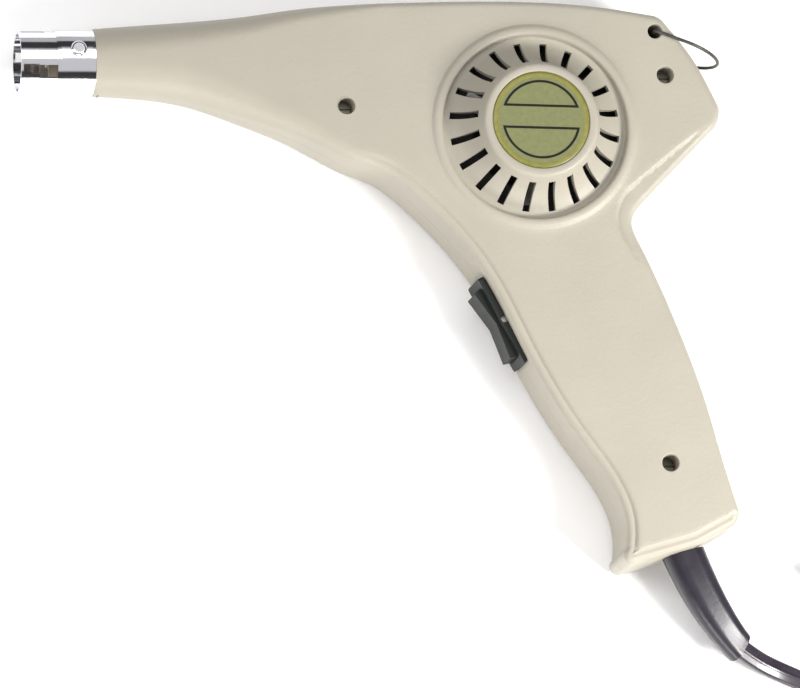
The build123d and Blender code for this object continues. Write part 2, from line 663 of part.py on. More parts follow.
CLAMP_T = 3.4
CLAMP_PLANE = Plane(origin=(BOOT_AT[0] - CLAMP_S * BOOT_FACE[0], BOOT_AT[1] - CLAMP_S * BOOT_FACE[1], SEAM_Z),
                    x_dir=(-BOOT_FACE[1], BOOT_FACE[0], 0))
with BuildPart() as cord_clamp:
    with BuildSketch(CLAMP_PLANE):
        RectangleRounded(2 * CLAMP_SPAN + 5.2, 5.2, 2.5)
        with GridLocations(2 * CLAMP_SPAN, 0, 2, 1):
            Circle(1.0, mode=Mode.SUBTRACT)
    extrude(amount=CLAMP_T)
    with BuildSketch(CLAMP_PLANE):
        Rectangle(CORD_W + 0.2, 6)
    extrude(amount=CORD_T / 2 + GAP, mode=Mode.SUBTRACT)

with BuildPart() as clamp_screws:
    with Locations(*[(x, y, 7) for x, y in CLAMP_POSTS]):
        Cylinder(0.9, SEAM_Z + CLAMP_T - 7, align=LOW)
    with Locations(*[(x, y, SEAM_Z + CLAMP_T) for x, y in CLAMP_POSTS]):
        Cylinder(2, 1.5, align=LOW)

with BuildPart() as rectifier_board:
    with BuildSketch(Plane(origin=(*BOARD_AT, BOARD_Z), x_dir=BOARD_DIR)):
        Rectangle(24, 14)
        with GridLocations(18, 0, 2, 1):
            Circle(1.04, mode=Mode.SUBTRACT)
    extrude(amount=BOARD_T)

with BuildPart() as rectifier_diodes:
    with BuildSketch(Plane(origin=(*BOARD_AT, BOARD_Z + BOARD_T), x_dir=BOARD_DIR)):
        with GridLocations(6.5, 6.5, 2, 2):
            RectangleRounded(5.0, 2.6, 0.6)
    extrude(amount=2.6)

# Wires inside the housing: their corners and their radius.
SUPPLY = [[(80.66, -61.2, 13.3), (73.15, -52.5, 15.5), (67.98, -34.0, 18.0), (63.61, -9.0, 15.0)],
          [(84.78, -60.8, 13.3), (91.17, -52.0, 15.0), (85.17, -30.0, 17.0), (70.97, 10.0, 19.5),
           (35.48, 21.5, 19.5), (-14.0, 61.0, 19.0), (-47.0, 69.0, 17.5)]]
HEATING = [[(57.45, 12.0, 16.4), (41.35, 18.5, 22.2), (10.0, 38.0, 22.2), (-12.0, 64.5, 21.6), (-42.4, 66.9, 13.2)],
           [(61.02, 4.6, 18.0), (45.15, 14.0, 17.2), (12.0, 38.5, 16.8), (-16.0, 64.0, 14.0), (-40.0, 71.0, 16.6),
            (-54.5, 72.0, 16.6)]]
MOTOR = [[(71.34, -15.0, 12.2), (68.61, 2.0, 21.8), (59.77, 28.0, 21.8), (56.0, 34.6, 22.5), (54.2, 36.4, 32.5),
          (50.0, 42.0, 32.6)],
         [(73.48, -14.2, 12.2), (71.19, 4.0, 21.8), (66.0, 34.0, 21.8), (60.5, 39.5, 22.5), (57.1, 41.0, 32.5),
          (51.5, 46.0, 32.6)]]
WIRE_R = 0.7


def wires(routes, bend):
    """Round wires along a set of routes with rounded corners, outside any builder."""
    made = []
    for route in routes:
        path = FilletPolyline(*route, radius=bend)
        start = Plane(origin=path @ 0, z_dir=path % 0)
        made.append(sweep(start * Circle(WIRE_R), path=path))
    return made


supply_wires = wires(SUPPLY, 2.5)
with BuildPart() as supply_leads:
    add(supply_wires)

heater_wires = wires(HEATING, 2.5)
with BuildPart() as heater_leads:
    add(heater_wires)

motor_wires = wires(MOTOR, 2.0)
with BuildPart() as motor_leads:
    add(motor_wires)

# The boot: a neck and a flange that the shells grip, and a tapered flexible body outside.
BOOT_BENDS = [BOOT_AT, (93.5, -96.6, 12.6), CORD_ROUTE[0]]


def boot_plane(t):
    """The plane across the boot at a share t of its length, with its own X level."""
    p0, p1, p2 = (Vector(*p) for p in BOOT_BENDS)
    middle = p0 * (1 - t) ** 2 + p1 * (2 * t * (1 - t)) + p2 * t ** 2
    along = ((p1 - p0) * (1 - t) + (p2 - p1) * t).normalized()
    if t == 0:
        along = Vector(*BOOT_FACE)
    if t == 1:
        along = (Vector(*CORD_ROUTE[1]) - p2).normalized()
    return Plane(origin=middle, x_dir=along.cross(Vector(0, 0, 1)), z_dir=along)


with BuildPart() as strain_relief:
    for t, width, height in ((0, 12.4, 11.4), (0.3, 11.6, 10.4), (0.65, 10.4, 8.6), (1, 9.4, 6.8)):
        with BuildSketch(boot_plane(t)):
            RectangleRounded(width, height, height * 0.42)
    loft()
    with BuildSketch(BOOT_IN):
        Circle(BOOT_NECK_R)
    extrude(amount=4.2)
    with BuildSketch(BOOT_IN.offset(4.1)):
        Circle(6.2)
    extrude(amount=2.0)


def cord_tube(route):
    """A flat cord along straight runs joined by tangent arcs, as large as the runs allow."""
    points = [Vector(*p) for p in route]
    radii = []
    for a, b, c in zip(points, points[1:], points[2:]):
        turn = math.radians((b - a).get_angle(c - b))
        radii.append(0.45 * min((b - a).length, (c - b).length) / math.tan(turn / 2))
    path = FilletPolyline(*points, radius=radii)
    start = Plane(origin=path @ 0, x_dir=(path % 0).cross(Vector(0, 0, 1)), z_dir=path % 0)
    tube = sweep(start * RectangleRounded(CORD_W, CORD_T, 1.2), path=path, transition=Transition.RIGHT)
    area = RectangleRounded(CORD_W, CORD_T, 1.2).area
    print("cord radii", [round(r, 1) for r in radii], "volume", round(tube.volume, 1), "of",
          round(area * path.length, 1))
    return tube


lead_tube = cord_tube(CORD_ROUTE)
with BuildPart() as cord_lead:
    add(lead_tube)

with BuildPart() as cord_coil:
    with BuildSketch(Plane(origin=(COIL_X, COIL_Y, COIL_Z))):
        Circle(COIL_OUT_R)
        Circle(COIL_IN_R, mode=Mode.SUBTRACT)
    extrude(amount=COIL_TOP - COIL_Z)

TIE_X, TIE_T = COIL_X - (COIL_IN_R + COIL_OUT_R) / 2, 0.7
with BuildPart() as coil_tie:
    with Locations((TIE_X, COIL_Y, COIL_Z - TIE_T)):
        Box(COIL_OUT_R - COIL_IN_R + 2.4, 4, COIL_TOP - COIL_Z + 2 * TIE_T + 0.1, align=LOW)
    with Locations((TIE_X, COIL_Y, COIL_Z)):
        Box(COIL_OUT_R - COIL_IN_R + 1.0, 5, COIL_TOP - COIL_Z, align=LOW, mode=Mode.SUBTRACT)

end_tube = cord_tube(CORD_END_ROUTE)
with BuildPart() as cord_end:
    add(end_tube)

PLUG_X, PLUG_Z = CORD_END_ROUTE[-1][0], PLUG_H / 2
with BuildPart() as plug_body:
    with BuildSketch(Plane(origin=(PLUG_X, PLUG_Y, PLUG_Z), x_dir=(1, 0, 0), z_dir=(0, 1, 0))):
        RectangleRounded(12, 9, 4)
    with BuildSketch(Plane(origin=(PLUG_X, PLUG_Y + 14, PLUG_Z), x_dir=(1, 0, 0), z_dir=(0, 1, 0))):
        RectangleRounded(PLUG_W, PLUG_H, 5)
    with BuildSketch(Plane(origin=(PLUG_X, PLUG_Y + PLUG_L, PLUG_Z), x_dir=(1, 0, 0), z_dir=(0, 1, 0))):
        RectangleRounded(PLUG_W, PLUG_H, 5)
    loft(ruled=True)

PLUG_FACE = Plane(origin=(PLUG_X, PLUG_Y + PLUG_L, PLUG_Z), x_dir=(1, 0, 0), z_dir=(0, 1, 0))
with BuildPart() as plug_blades:
    with BuildSketch(PLUG_FACE):
        with Locations((-6.35, -2), (6.35, -2)):
            Rectangle(1.5, 6.4)
    extrude(amount=16)

with BuildPart() as ground_pin:
    with BuildSketch(PLUG_FACE):
        with Locations((0, 5.8)):
            Circle(2.4)
    extrude(amount=18)

# ---------------------------------------------------------------- write every piece
keep(left_shell, "left_shell")
keep(right_shell, "right_shell")
keep(label_disc, "label_disc")
keep(shell_screws, "shell_screws")
keep(nozzle_tube, "nozzle_tube")
keep(nozzle_collar, "nozzle_collar")
keep(collar_rivet, "collar_rivet")
keep(heater_tube, "heater_tube")
keep(mica_sleeve, "mica_sleeve")
keep(mica_board_flat, "mica_board_flat")
keep(mica_board_upright, "mica_board_upright")
keep(heater_coil, "heater_coil")
keep(thermal_cutout, "thermal_cutout")
keep(blower_scroll, "blower_scroll")
keep(inlet_plate, "inlet_plate")
keep(motor_bracket, "motor_bracket")
keep(bracket_screws, "bracket_screws")
keep(impeller, "impeller")
keep(motor_can, "motor_can")
keep(motor_magnets, "motor_magnets")
keep(armature_core, "armature_core")
keep(armature_windings, "armature_windings")
keep(commutator, "commutator")
keep(motor_shaft, "motor_shaft")
keep(motor_bearings, "motor_bearings")
keep(motor_brushes, "motor_brushes")
keep(brush_holders, "brush_holders")
keep(motor_end_cap, "motor_end_cap")
keep(switch_body, "switch_body")
keep(rocker, "rocker")
keep(rocker_pin, "rocker_pin")
keep(switch_terminals, "switch_terminals")
keep(hang_bail, "hang_bail")
keep(cord_stub, "cord_stub")
keep(cord_clamp, "cord_clamp")
keep(clamp_screws, "clamp_screws")
keep(rectifier_board, "rectifier_board")
keep(rectifier_diodes, "rectifier_diodes")
keep(supply_leads, "supply_leads")
keep(heater_leads, "heater_leads")
keep(motor_leads, "motor_leads")
keep(strain_relief, "strain_relief")
keep(cord_lead, "cord_lead")
keep(cord_coil, "cord_coil")
keep(coil_tie, "coil_tie")
keep(cord_end, "cord_end")
keep(plug_body, "plug_body")
keep(plug_blades, "plug_blades")
keep(ground_pin, "ground_pin")
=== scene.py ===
import math

import bmesh
import bpy
import numpy as np
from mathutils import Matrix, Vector
from mathutils.geometry import delaunay_2d_cdt


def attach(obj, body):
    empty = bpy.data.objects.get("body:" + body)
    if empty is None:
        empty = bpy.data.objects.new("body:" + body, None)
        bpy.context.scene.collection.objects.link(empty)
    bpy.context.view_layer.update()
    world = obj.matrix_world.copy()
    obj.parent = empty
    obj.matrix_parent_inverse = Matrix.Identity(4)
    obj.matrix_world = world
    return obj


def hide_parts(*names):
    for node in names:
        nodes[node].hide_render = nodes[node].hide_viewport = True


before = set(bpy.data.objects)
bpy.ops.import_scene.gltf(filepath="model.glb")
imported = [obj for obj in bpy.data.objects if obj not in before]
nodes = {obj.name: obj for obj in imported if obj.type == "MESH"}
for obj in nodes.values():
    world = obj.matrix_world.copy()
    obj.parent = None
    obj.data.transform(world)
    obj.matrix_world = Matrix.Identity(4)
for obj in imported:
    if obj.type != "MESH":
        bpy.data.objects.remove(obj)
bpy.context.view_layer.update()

MM = 0.001
ORIGIN_X = 1.43                 # mm from the outline's own origin to the model's

# ------------------------------------------------------------------ camera
LOOK_AT = Vector((0.00606, -0.01646, 0.013))
TOWARDS_CAMERA = Vector((-0.1797, -0.1870, 0.9658)).normalized()
CAMERA_DISTANCE = 3.0
VIEW_WIDTH = 0.2341
CAMERA_ROLL = -0.09

camera_data = bpy.data.cameras.new("camera")
camera = bpy.data.objects.new("camera", camera_data)
bpy.context.collection.objects.link(camera)
camera_data.sensor_width = 36.0
camera_data.lens = 36.0 * CAMERA_DISTANCE / VIEW_WIDTH
camera_data.clip_start = 0.05
camera_data.clip_end = 20.0
camera.location = LOOK_AT + TOWARDS_CAMERA * CAMERA_DISTANCE
right = (Vector((1, 0, 0)) - TOWARDS_CAMERA * TOWARDS_CAMERA.x).normalized()
up = TOWARDS_CAMERA.cross(right)
turn = math.radians(CAMERA_ROLL)
right, up = right * math.cos(turn) + up * math.sin(turn), up * math.cos(turn) - right * math.sin(turn)
matrix = camera.matrix_world.copy()
for row in range(3):
    matrix[row][0], matrix[row][1], matrix[row][2] = right[row], up[row], TOWARDS_CAMERA[row]
    matrix[row][3] = camera.location[row]
camera.matrix_world = matrix
bpy.context.scene.camera = camera


# ------------------------------------------------------------------ materials
def socket(shader, name, value):
    if name in shader.inputs:
        shader.inputs[name].default_value = value


def material(name, colour, roughness, metallic=0.0, specular=0.5, coat=0.0, bumps=(), vary=0.0,
             vary_scale=60.0, rough_vary=0.0):
    """A node material: a base colour that varies a little, roughness that varies, and layered noise bumps.
    bumps are (scale per metre, depth in metres, strength, distortion)."""
    made = bpy.data.materials.new(name)
    made.use_nodes = True
    tree = made.node_tree
    shader = tree.nodes["Principled BSDF"]
    socket(shader, "Metallic", metallic)
    socket(shader, "Specular IOR Level", specular)
    socket(shader, "Coat Weight", coat)
    coords = tree.nodes.new("ShaderNodeTexCoord")
    noise = tree.nodes.new("ShaderNodeTexNoise")
    noise.inputs["Scale"].default_value = vary_scale
    noise.inputs["Detail"].default_value = 4.0
    tree.links.new(coords.outputs["Object"], noise.inputs["Vector"])
    ramp = tree.nodes.new("ShaderNodeValToRGB")
    ramp.color_ramp.elements[0].position = 0.3
    ramp.color_ramp.elements[1].position = 0.7
    ramp.color_ramp.elements[0].color = [c * (1 - vary) for c in colour] + [1]
    ramp.color_ramp.elements[1].color = [min(c * (1 + vary), 1) for c in colour] + [1]
    tree.links.new(noise.outputs["Fac"], ramp.inputs["Fac"])
    tree.links.new(ramp.outputs["Color"], shader.inputs["Base Color"])
    if rough_vary:
        spread = tree.nodes.new("ShaderNodeMapRange")
        spread.inputs["To Min"].default_value = roughness - rough_vary
        spread.inputs["To Max"].default_value = roughness + rough_vary
        tree.links.new(noise.outputs["Fac"], spread.inputs["Value"])
        tree.links.new(spread.outputs["Result"], shader.inputs["Roughness"])
    else:
        socket(shader, "Roughness", roughness)
    before = None
    for scale, depth, strength, distortion in bumps:
        grain = tree.nodes.new("ShaderNodeTexNoise")
        grain.inputs["Scale"].default_value = scale
        grain.inputs["Detail"].default_value = 2.0
        grain.inputs["Distortion"].default_value = distortion
        tree.links.new(coords.outputs["Object"], grain.inputs["Vector"])
        bump = tree.nodes.new("ShaderNodeBump")
        bump.inputs["Strength"].default_value = strength
        bump.inputs["Distance"].default_value = depth
        tree.links.new(grain.outputs["Fac"], bump.inputs["Height"])
        if before:
            tree.links.new(before.outputs["Normal"], bump.inputs["Normal"])
        before = bump
    if before:
        tree.links.new(before.outputs["Normal"], shader.inputs["Normal"])
    return made


IVORY = material("ivory_housing", (0.335, 0.312, 0.258), 0.46, specular=0.38, vary=0.03, vary_scale=45,
                 rough_vary=0.05, bumps=[(380, 0.0003, 0.30, 1.8), (1700, 0.00008, 0.35, 0.0)])
SATIN_BLACK = material("black_switch", (0.012, 0.015, 0.013), 0.48, specular=0.28, vary=0.12, rough_vary=0.06,
                       bumps=[(2500, 0.00003, 0.2, 0.0)])
CHROME = material("plated_steel", (0.80, 0.80, 0.83), 0.10, metallic=1.0, vary=0.03, vary_scale=120,
                  rough_vary=0.04, bumps=[(260, 0.00008, 0.12, 0.4)])
STEEL = material("plain_steel", (0.42, 0.41, 0.39), 0.38, metallic=1.0, vary=0.15, vary_scale=300,
                 rough_vary=0.10, bumps=[(1500, 0.00004, 0.2, 0.0)])
SPRING_WIRE = material("spring_wire", (0.060, 0.055, 0.050), 0.42, metallic=0.6, vary=0.2, vary_scale=500,
                       rough_vary=0.08, bumps=[(2500, 0.00003, 0.2, 0.0)])
BLACKED = material("blackened_screw", (0.16, 0.15, 0.12), 0.42, metallic=1.0, vary=0.2, vary_scale=400,
                   rough_vary=0.1, bumps=[(1800, 0.00004, 0.2, 0.0)])
BRASS = material("brass", (0.72, 0.54, 0.24), 0.28, metallic=1.0, vary=0.08, vary_scale=300, rough_vary=0.06,
                 bumps=[(1500, 0.00003, 0.15, 0.0)])
COPPER = material("enamelled_copper", (0.60, 0.26, 0.12), 0.30, metallic=1.0, vary=0.1, vary_scale=600,
                  rough_vary=0.05, bumps=[(2200, 0.0001, 0.4, 0.0)])
MICA = material("mica", (0.30, 0.26, 0.20), 0.5, specular=0.6, vary=0.25, vary_scale=250, rough_vary=0.12,
                bumps=[(700, 0.0001, 0.3, 0.5)])
HOT_WIRE = material("resistance_wire", (0.22, 0.20, 0.19), 0.45, metallic=1.0, vary=0.25, vary_scale=700,
                    rough_vary=0.1, bumps=[(2500, 0.00003, 0.2, 0.0)])
BLOWER = material("black_blower", (0.028, 0.028, 0.027), 0.5, vary=0.2, vary_scale=200, rough_vary=0.08,
                  bumps=[(1500, 0.00004, 0.2, 0.0)])
FERRITE = material("ferrite", (0.05, 0.05, 0.055), 0.7, vary=0.2, vary_scale=400, rough_vary=0.1,
                   bumps=[(1800, 0.00006, 0.3, 0.0)])
PHENOLIC = material("phenolic", (0.19, 0.09, 0.045), 0.45, vary=0.2, vary_scale=350, rough_vary=0.08,
                    bumps=[(1500, 0.00004, 0.2, 0.0)])
BOARD = material("circuit_board", (0.36, 0.25, 0.11), 0.45, vary=0.1, vary_scale=500, rough_vary=0.06,
                 bumps=[(1800, 0.00003, 0.2, 0.0)])
EPOXY = material("diode_epoxy", (0.03, 0.03, 0.03), 0.3, vary=0.1, rough_vary=0.05,
                 bumps=[(1800, 0.00003, 0.2, 0.0)])
INSULATION = material("lead_insulation", (0.66, 0.64, 0.58), 0.35, vary=0.06, rough_vary=0.05,
                      bumps=[(1200, 0.00003, 0.2, 0.0)])
BOOT = material("boot_pvc", (0.018, 0.015, 0.023), 0.34, specular=0.4, coat=0.05, vary=0.14, vary_scale=160,
                rough_vary=0.10, bumps=[(600, 0.00012, 0.25, 0.8)])
CORD_PVC = material("cord_pvc", (0.024, 0.019, 0.028), 0.28, specular=0.5, coat=0.15, vary=0.12,
                    vary_scale=200, rough_vary=0.08, bumps=[(900, 0.00008, 0.2, 0.6)])
TIE = material("tie_plastic", (0.02, 0.02, 0.02), 0.35, vary=0.1, rough_vary=0.05,
               bumps=[(1500, 0.00003, 0.2, 0.0)])
OLIVE = material("label_olive", (0.140, 0.150, 0.052), 0.36, specular=0.5, vary=0.10, vary_scale=900,
                 rough_vary=0.06, bumps=[(2600, 0.00003, 0.25, 0.0)])
OLIVE_EDGE = material("label_border", (0.175, 0.165, 0.028), 0.36, specular=0.5, vary=0.14, vary_scale=700,
                      rough_vary=0.06, bumps=[(2600, 0.00003, 0.25, 0.0)])
INK = material("label_ink", (0.006, 0.007, 0.004), 0.60, specular=0.2, vary=0.2, vary_scale=900,
               rough_vary=0.08, bumps=[(2600, 0.00002, 0.2, 0.0)])
FLOOR = material("floor", (0.93, 0.93, 0.93), 0.85, specular=0.1, vary=0.004, vary_scale=4,
                 bumps=[(30, 0.00005, 0.05, 0.0)])

FINISHES = {
    SATIN_BLACK: ["switch_body", "rocker"],
    CHROME: ["nozzle_tube", "nozzle_collar", "collar_rivet"],
    SPRING_WIRE: ["hang_bail"],
    STEEL: ["heater_tube", "motor_can", "motor_bracket", "motor_shaft", "armature_core", "rocker_pin",
            "bracket_screws", "clamp_screws"],
    BLACKED: ["shell_screws"],
    BRASS: ["thermal_cutout", "commutator", "motor_bearings", "brush_holders", "switch_terminals",
            "plug_blades", "ground_pin"],
    COPPER: ["armature_windings"],
    MICA: ["mica_sleeve", "mica_board_flat", "mica_board_upright"],
    HOT_WIRE: ["heater_coil"],
    BLOWER: ["blower_scroll", "inlet_plate", "impeller"],
    FERRITE: ["motor_magnets", "motor_brushes"],
    PHENOLIC: ["motor_end_cap", "cord_clamp"],
    BOARD: ["rectifier_board"],
    EPOXY: ["rectifier_diodes"],
    INSULATION: ["supply_leads", "heater_leads", "motor_leads"],
    BOOT: ["strain_relief"],
    CORD_PVC: ["cord_stub", "plug_body"],
    TIE: ["coil_tie"],
}
for finish, names in FINISHES.items():
    for name in names:
        nodes[name].data.materials.clear()
        nodes[name].data.materials.append(finish)


# ------------------------------------------------------------------ mesh helpers
def piece(name, verts, faces, finish, body, replaces=(), sharp=35.0, placed=False):
    """Makes a mesh object from points in millimetres, hangs it under its body's empty and hides the parts it
    replaces.
    """
    mesh = bpy.data.meshes.new(name)
    if not placed:
        verts = [((x + ORIGIN_X) * MM, y * MM, z * MM) for x, y, z in verts]
    mesh.from_pydata(verts, [], faces)
    mesh.update()
    obj = bpy.data.objects.new(name, mesh)
    bpy.context.collection.objects.link(obj)
    edit = bmesh.new()
    edit.from_mesh(mesh)
    bmesh.ops.remove_doubles(edit, verts=edit.verts, dist=1e-6)
    bmesh.ops.recalc_face_normals(edit, faces=edit.faces)
    edit.to_mesh(mesh)
    edit.free()
    mesh.materials.append(finish)
    shade(obj, sharp)
    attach(obj, body)
    for node in replaces:
        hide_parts(node)
    return obj


def shade(obj, sharp):
    obj.data.polygons.foreach_set("use_smooth", [True] * len(obj.data.polygons))
    obj.data.set_sharp_from_angle(angle=math.radians(sharp))


def smooth(x):
    x = np.clip(x, 0.0, 1.0)
    return x * x * (3 - 2 * x)


# ------------------------------------------------------------------ outline of the housing, mm
NOSE_X = -84.0
SEAM_Z = 13.0
TOP = [(NOSE_X, 77.3), (-57, 79), (-38.9, 80.3), (-24.5, 82.0), (0, 83.1), (16.8, 83.6),
       (34.3, 83.8), (64.3, 82.4), (81.6, 79.8)]
REAR_TOP = [(85.2, 77.4), (93.4, 66.4), (98.0, 57.6), (100.5, 52.2)]
REAR_CORNER = (100.1, 48.4)
REAR_LOW = (98.7, 45.8)
WAIST = [(76.9, 24.0), (73.24, 18.4), (75.12, 11.2), (79.92, 0.2), (82.54, -6.1)]
BACK = [(82.54, -6.1), (92.89, -36.1), (96.97, -52.2), (101.26, -67.8)]
HEEL = (101.24, -70.5)
FOOT = [(100.26, -72.4), (88.89, -78.4), (69.44, -83.8)]
FRONT = [(67.45, -79.3), (67.84, -72.8), (64.09, -60.6), (54.73, -46.4), (39.07, -18.8), (27.98, 3.6),
         (19.59, 14.9), (6.87, 27.8), (0, 33.0), (-9.1, 36.4), (-22.2, 43.0), (-37.1, 48.8),
         (-57, 55.0), (NOSE_X, 57.5)]
BARREL = [(NOSE_X, 19.8, 9.85), (-57, 21.5, 9.0), (-38, 23.2, 7.0), (-22.2, 24.4, 5.0), (-9.1, 25.3, 3.2),
          (0, 26.0, 2.0)]


def spline(points, step=1.0):
    """Points about one step apart on the natural cubic spline through the given points."""
    points = np.array(points, float)
    chord = np.concatenate([[0], np.cumsum(np.hypot(*np.diff(points, axis=0).T))])
    count = len(points)
    h = np.diff(chord)
    system = np.zeros((count, count))
    load = np.zeros((count, 2))
    system[0, 0] = system[-1, -1] = 1
    for i in range(1, count - 1):
        system[i, i - 1], system[i, i], system[i, i + 1] = h[i - 1], 2 * (h[i - 1] + h[i]), h[i]
        load[i] = 6 * ((points[i + 1] - points[i]) / h[i] - (points[i] - points[i - 1]) / h[i - 1])
    bend = np.linalg.solve(system, load)
    out = []
    for t in np.linspace(0, chord[-1], max(int(chord[-1] / step), 2) + 1):
        i = min(int(np.searchsorted(chord, t, side="right")) - 1, count - 2)
        a, b = chord[i + 1] - t, t - chord[i]
        out.append(bend[i] * a ** 3 / (6 * h[i]) + bend[i + 1] * b ** 3 / (6 * h[i])
                   + (points[i] / h[i] - bend[i] * h[i] / 6) * a
                   + (points[i + 1] / h[i] - bend[i + 1] * h[i] / 6) * b)
    return [tuple(p) for p in out]


def arc(a, b, c, count=8):
    """Points on the arc from a through b to c."""
    (ax, ay), (bx, by), (cx, cy) = a, b, c
    d = 2 * (ax * (by - cy) + bx * (cy - ay) + cx * (ay - by))
    aa, bb, cc = (x ** 2 + y ** 2 for x, y in (a, b, c))
    ux = (aa * (by - cy) + bb * (cy - ay) + cc * (ay - by)) / d
    uy = (aa * (cx - bx) + bb * (ax - cx) + cc * (bx - ax)) / d
    start, mid, end = (math.atan2(y - uy, x - ux) for x, y in (a, b, c))
    radius = math.hypot(ax - ux, ay - uy)
    way = (end - start) % (2 * math.pi)
    if (mid - start) % (2 * math.pi) > way:
        way -= 2 * math.pi
    return [(ux + radius * math.cos(start + way * k / count), uy + radius * math.sin(start + way * k / count))
            for k in range(count + 1)]


def line(a, b, step=1.0):
    """Points about one step apart on the straight line from a to b."""
    count = max(int(math.dist(a, b) / step), 1)
    return [(a[0] + (b[0] - a[0]) * k / count, a[1] + (b[1] - a[1]) * k / count) for k in range(count + 1)]


runs = [("top", spline(TOP)), ("top", arc(TOP[-1], (83.7, 79.0), REAR_TOP[0], 5)), ("rear", spline(REAR_TOP)),
        ("rear", arc(REAR_TOP[-1], REAR_CORNER, REAR_LOW)), ("facet", line(REAR_LOW, WAIST[0])),
        ("waist", spline(WAIST)), ("back", spline(BACK)), ("heel", arc(BACK[-1], HEEL, FOOT[0])),
        ("foot", line(FOOT[0], FOOT[1])), ("foot", line(FOOT[1], FOOT[2])),
        ("front", arc(FOOT[2], (67, -82.6), FRONT[0])), ("front", spline(FRONT)),
        ("nose", line(FRONT[-1], TOP[0]))]
outline, zone = [], []
for kind, points in runs:
    for point in points[:-1]:
        outline.append(point)
        zone.append(kind)
outline = np.array(outline)
COUNT = len(outline)
following = np.roll(outline, -1, axis=0)
edge_dir = following - outline
edge_length = np.hypot(*edge_dir.T)
edge_dir /= edge_length[:, None]
edge_in = np.stack([edge_dir[:, 1], -edge_dir[:, 0]], axis=1)
mitre = edge_in + np.roll(edge_in, 1, axis=0)
mitre /= (1 + np.sum(edge_in * np.roll(edge_in, 1, axis=0), axis=1))[:, None]
SIDES = np.array([kind != "nose" for kind in zone])


def ledge(x, y, kind):
    """Width of the lowered border beside an outline point, and how much of it there is."""
    if kind == "front":
        return 2.2, float(smooth((x + 10.6) / 14.0)) if y > 0 else 1.0
    if kind == "foot":
        return 2.2, 1.0
    if kind == "heel":
        return 2.2, float(smooth((-68.0 - y) / 3.5))
    if kind == "facet":
        run = (REAR_LOW[0] - x) / (REAR_LOW[0] - WAIST[0][0])
        return 1.6 + 3.4 * run, float(smooth(0.15 + run * 2.0))
    if kind == "waist":
        return 5.0 - 2.0 * float(smooth((24.0 - y) / 12.0)), float(smooth((y - 4.0) / 14.0))
    return 2.2, 0.0


ledges = np.array([ledge(p[0], p[1], kind) for p, kind in zip(outline, zone)])


def nearest(points):
    """Distance from each point to the housing's sides, and the index of the nearest outline edge."""
    best = np.full(len(points), 1e9)
    index = np.zeros(len(points), int)
    for i in range(COUNT):
        if not SIDES[i]:
            continue
        away = points - outline[i]
        along = np.clip(away @ edge_dir[i], 0, edge_length[i])
        gap = np.hypot(*(away - along[:, None] * edge_dir[i]).T)
        closer = gap < best
        best[closer] = gap[closer]
        index[closer] = i
    return best, index


def inside(points):
    """Which points are within the outline."""
    hits = np.zeros(len(points), int)
    for a, b in zip(outline, following):
        crosses = (a[1] > points[:, 1]) != (b[1] > points[:, 1])
        at = a[0] + (points[:, 1] - a[1]) * (b[0] - a[0]) / (b[1] - a[1] if b[1] != a[1] else 1e-9)
        hits += crosses & (points[:, 0] < at)
    return hits % 2 == 1


FAN = np.array([44.8, 45.8])
DOME_R = 31.0
SCREWS = np.array([(-11.0, 52.1), (84.5, 61.6), (81.37, -54.4)])
RECESS_R, SCREW_HOLE_R = 2.55, 1.6
BAIL = np.array([81.9, 74.7])
BAIL_HOLE_R = 2.1
RELIEF_R, RELIEF_DEPTH = 10.2, 1.8
HOLE_SIDES = 28                 # points round a screw recess or the bail's hole
HOLE_ROUND = 0.25               # of a hole's edge
GRID_STEP = 1.3
SCREW_SEAT_Z = SEAM_Z + 4.0
SHELL_WALL = 1.6
SHARP = 32                      # degrees at which the housing's edges stay crisp
STEP_UP = 0.8                   # height of the raised panel over its border


def rise(points, left):
    """Height above the parting plane of the outside of one shell."""
    d, index = nearest(points)
    x = points[:, 0]
    section_x = [s[0] for s in BARREL]
    half = np.interp(x, section_x, [s[1] / 2 for s in BARREL])
    corner = np.interp(x, section_x, [s[2] for s in BARREL])
    inner = np.clip(corner - d, 0, None)
    high = half - (corner - np.sqrt(np.clip(corner ** 2 - inner ** 2, 0, None)))
    width, amount = ledges[index, 0], ledges[index, 1]
    groove = 0.18 * np.exp(-((d - width) / 0.45) ** 2)
    drop = STEP_UP * (1 - smooth((d - width) / 1.3)) + groove
    high -= amount * drop
    if left:
        from_dome = np.hypot(*(points - FAN).T) - DOME_R
        high += 0.25 * np.exp(-np.clip(from_dome, 0, 20) / 0.8)
    else:
        reach = np.hypot(*(points - BAIL).T)
        high = np.minimum(high, SEAM_Z - RELIEF_DEPTH * smooth((RELIEF_R + 0.3 - reach) / 0.6))
    return high


def ring(centre, radius, count):
    """Points round a circle."""
    angles = [2 * math.pi * k / count for k in range(count)]
    return [(centre[0] + radius * math.cos(a), centre[1] + radius * math.sin(a)) for a in angles]


SLOTS, SLOT_HALF, SLOT_IN, SLOT_OUT = 20, 1.05, 18.2, 25.4
SLOT_TURN = math.radians(-8.0)
BETWEEN = 6                     # facets of the dome between two slots


def dome_angles(radius):
    """Directions round the dome, so that the slots keep their width at every radius."""
    pitch = 2 * math.pi / SLOTS
    half = min(math.asin(min(SLOT_HALF / radius, 1)), 0.3 * pitch)
    angles = []
    for k in range(SLOTS):
        middle = k * pitch + SLOT_TURN
        angles += [middle - half, middle]
        angles += [middle + half + (pitch - 2 * half) * j / BETWEEN for j in range(BETWEEN)]
    return angles


def dome_ring(radius):
    """Points round the dome at those directions."""
    return [(FAN[0] + radius * math.cos(a), FAN[1] + radius * math.sin(a)) for a in dome_angles(radius)]


